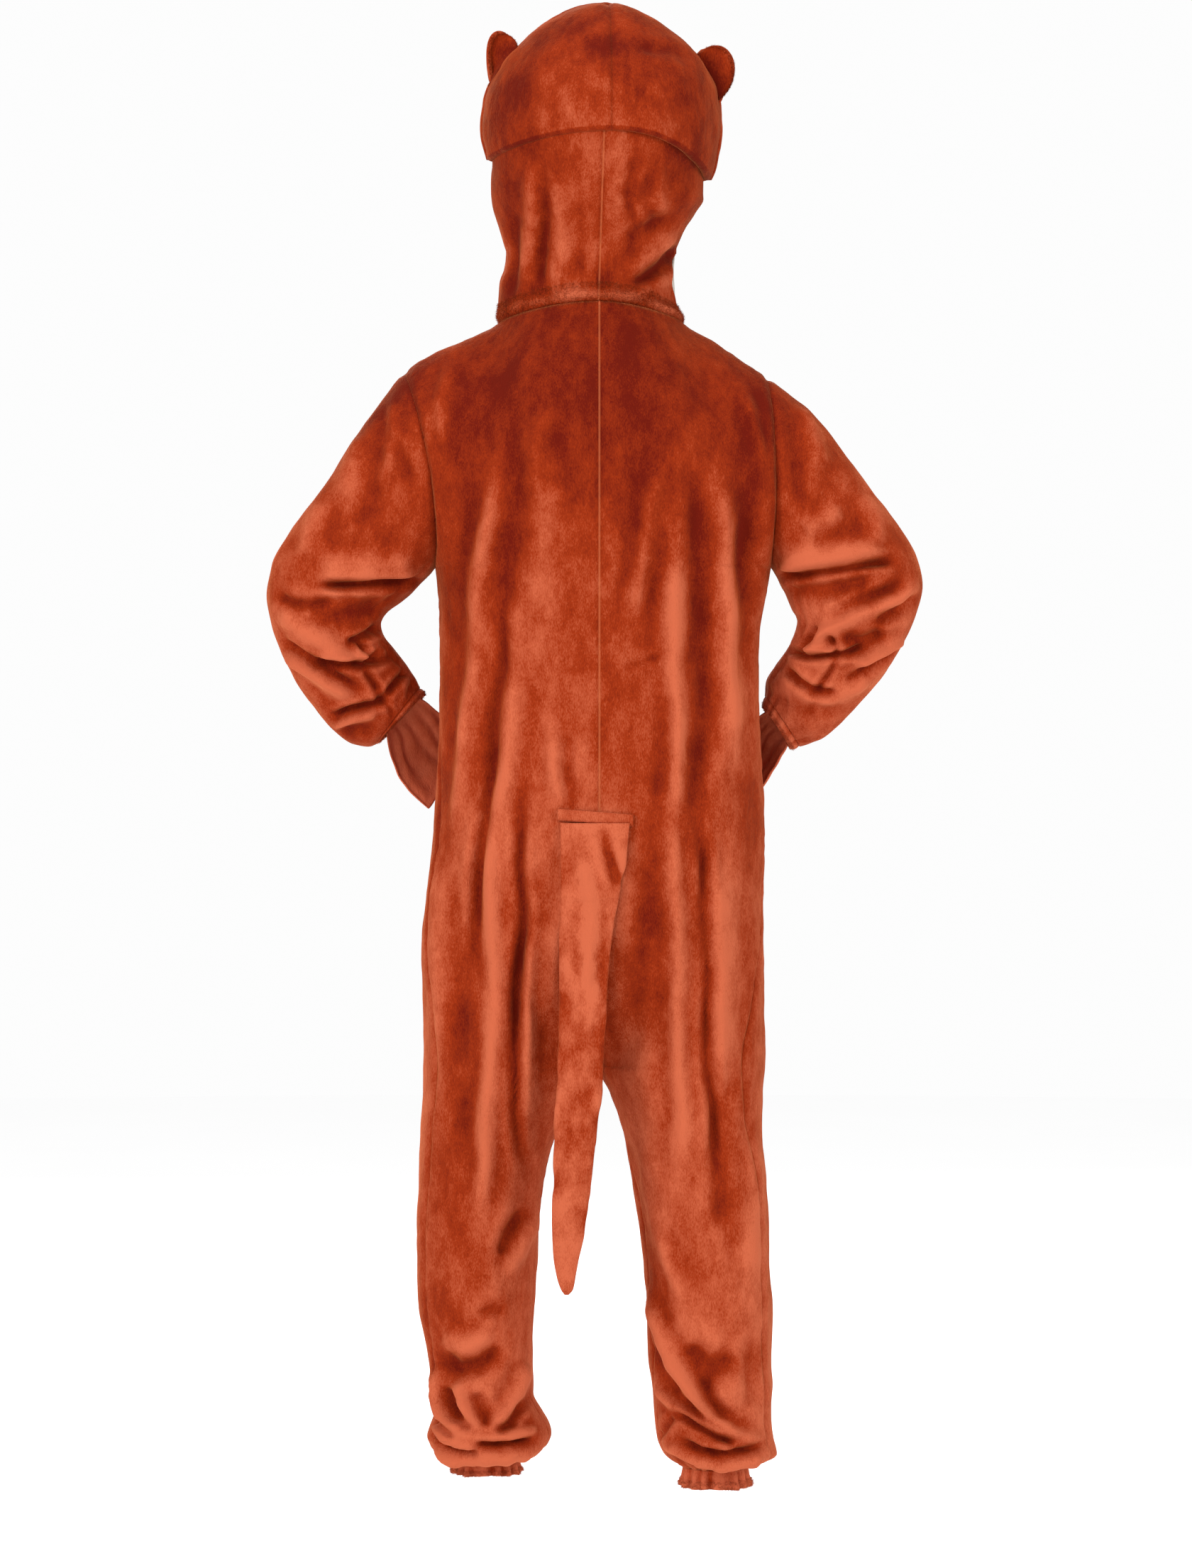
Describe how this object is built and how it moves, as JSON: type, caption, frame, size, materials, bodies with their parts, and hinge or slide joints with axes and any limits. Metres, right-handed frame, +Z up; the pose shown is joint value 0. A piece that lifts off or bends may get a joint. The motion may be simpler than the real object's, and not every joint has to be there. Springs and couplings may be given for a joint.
{
  "type": "otter onesie",
  "caption": "Hooded plush animal onesie in its worn form, with round ears, bent sleeves with paw flaps, gathered wrists and ankles, and a flat tail.",
  "frame": {"origin": "middle of the neckline, between the tops of the shoulders, where the garment rests on the wearer", "axes": "+Z up along the wearer, +Y out of the garment's back, +X to the wearer's left"},
  "size_m": [0.7834, 0.2741, 1.775],
  "materials": {
    "rust_plush": "short-pile velvety plush, rust orange, with a strong nap sheen",
    "plush_wrong_side": "duller wrong side of the same plush, wrinkled",
    "cream_plush": "short-pile plush, greyish cream"
  },
  "bodies": {
    "root": {"body_back_left": "rust_plush", "body_back_right": "rust_plush", "body_front_left": "rust_plush", "body_front_right": "rust_plush", "front_placket": "rust_plush", "sleeve_left": "rust_plush", "sleeve_right": "rust_plush", "cuff_left": "rust_plush", "cuff_right": "rust_plush", "paw_flap_left": "plush_wrong_side", "paw_flap_right": "plush_wrong_side", "hem_ruffle_left": "rust_plush", "hem_ruffle_right": "rust_plush", "hood_crown_left": "rust_plush", "hood_crown_right": "rust_plush", "hood_brow": "rust_plush", "hood_neck_left": "rust_plush", "hood_neck_right": "rust_plush", "hood_throat": "cream_plush", "ear_left": "rust_plush", "ear_right": "rust_plush", "tail_casing": "rust_plush", "tail": "rust_plush"}
  },
  "joints": []
}
